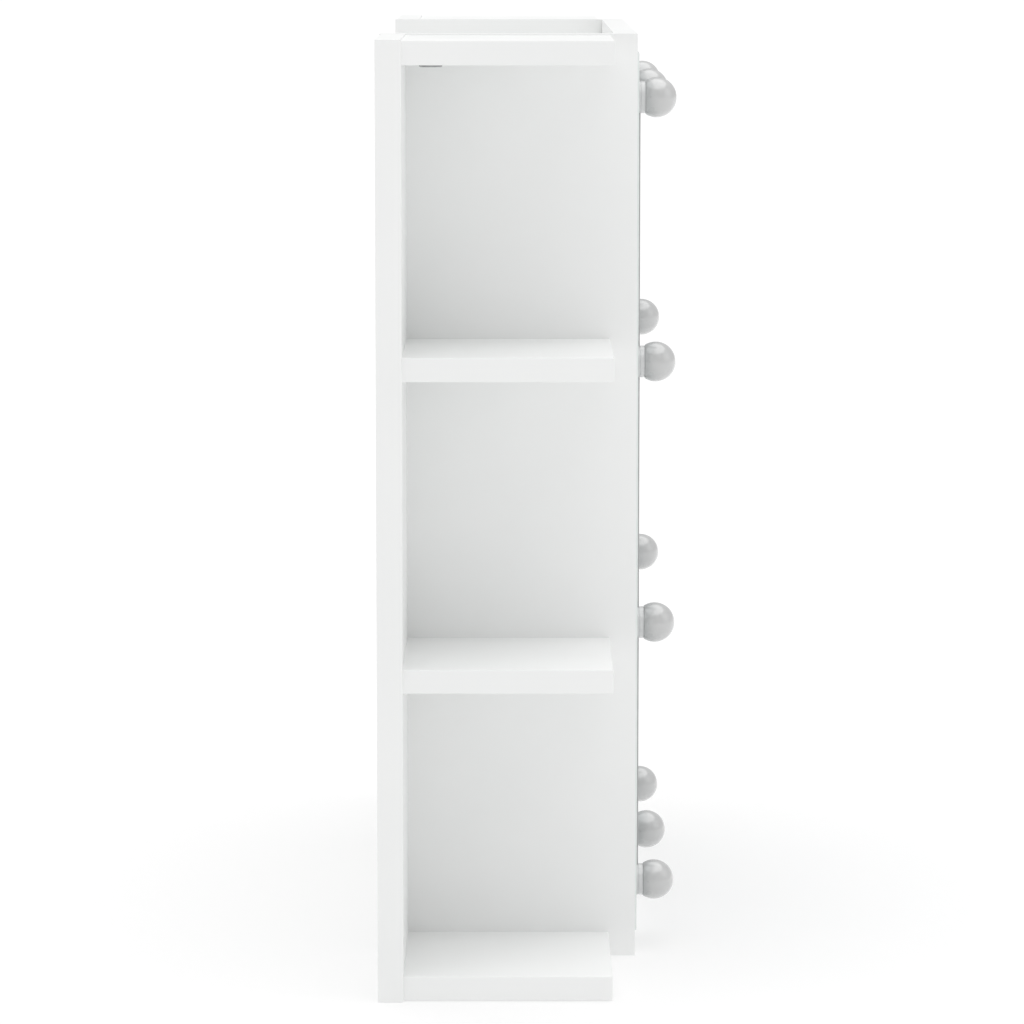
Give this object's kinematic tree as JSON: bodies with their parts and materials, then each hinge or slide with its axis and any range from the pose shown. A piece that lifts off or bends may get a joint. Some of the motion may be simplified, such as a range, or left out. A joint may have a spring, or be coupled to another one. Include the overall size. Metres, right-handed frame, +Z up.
{
  "type": "jewelry armoire",
  "caption": "Wall-hung jewelry armoire: a board cabinet behind a hinged mirror door edged with round lamps, with an open shelf unit on each side.",
  "frame": {"origin": "middle of the overall box, on the plane of the panels' bottom edges", "axes": "+X to the right as seen from the front, +Y from the mirror to the wall, +Z up"},
  "size_m": [0.7, 0.1914, 0.6],
  "materials": {
    "white_board": "satin white melamine on particle board",
    "mirror_glass": "polished, silvered at the back",
    "grey_lead": "smooth grey insulation",
    "white_plastic": "glossy moulded white",
    "frosted_globe": "frosted diffuser, unlit",
    "black_plastic": "fine-textured moulded black",
    "hinge_steel": "bright zinc plate",
    "dark_zinc": "dull cast zinc",
    "grey_velvet": "short velvet pile"
  },
  "bodies": {
    "cabinet": {"side_panel_left": "white_board", "side_panel_right": "white_board", "top_panel": "white_board", "bottom_panel": "white_board", "back_panel": "white_board", "inner_shelf_upper": "white_board", "inner_shelf_lower": "white_board", "left_shelf_back": "white_board", "left_shelf_bottom": "white_board", "left_shelf_lower": "white_board", "left_shelf_upper": "white_board", "left_shelf_top": "white_board", "right_shelf_back": "white_board", "right_shelf_bottom": "white_board", "right_shelf_lower": "white_board", "right_shelf_upper": "white_board", "right_shelf_top": "white_board", "necklace_rail": "white_plastic", "magnet_catch": "white_plastic", "cable_grommet": "black_plastic", "left_hanger_plate": "hinge_steel", "right_hanger_plate": "hinge_steel", "hinge_lower_frame_leaf": "hinge_steel", "hinge_lower_pin": "hinge_steel", "hinge_upper_frame_leaf": "hinge_steel", "hinge_upper_pin": "hinge_steel", "left_cam_lock": "dark_zinc", "right_cam_lock": "dark_zinc", "ring_cushion": "grey_velvet"},
    "door": {"door_board": "white_board", "mirror_glass": "mirror_glass", "lamp_lead": "grey_lead", "feed_lead": "grey_lead", "driver_box": "white_plastic", "dc_inlet": "black_plastic", "strike_plate": "hinge_steel", "hinge_lower_door_leaf": "hinge_steel", "hinge_upper_door_leaf": "hinge_steel", "lamp_socket_1": "white_plastic", "lamp_socket_2": "white_plastic", "lamp_socket_3": "white_plastic", "lamp_socket_4": "white_plastic", "lamp_socket_5": "white_plastic", "lamp_socket_6": "white_plastic", "lamp_socket_7": "white_plastic", "lamp_socket_8": "white_plastic", "lamp_socket_9": "white_plastic", "lamp_socket_10": "white_plastic", "lamp_globe_1": "frosted_globe", "lamp_globe_2": "frosted_globe", "lamp_globe_3": "frosted_globe", "lamp_globe_4": "frosted_globe", "lamp_globe_5": "frosted_globe", "lamp_globe_6": "frosted_globe", "lamp_globe_7": "frosted_globe", "lamp_globe_8": "frosted_globe", "lamp_globe_9": "frosted_globe", "lamp_globe_10": "frosted_globe"},
    "power_button": {"power_button": "black_plastic"}
  },
  "joints": [
    {"name": "door_hinge", "type": "hinge", "parent": "cabinet", "child": "door", "pos_m": [0.19925, -0.0726, 0.3], "axis": [0, 0, 1], "range_deg": [0, 110]},
    {"name": "button_press", "type": "slide", "parent": "door", "child": "power_button", "axis": [0, -1, 0], "range_m": [0, 0.0015], "stiffness_N_per_m": 400}
  ]
}
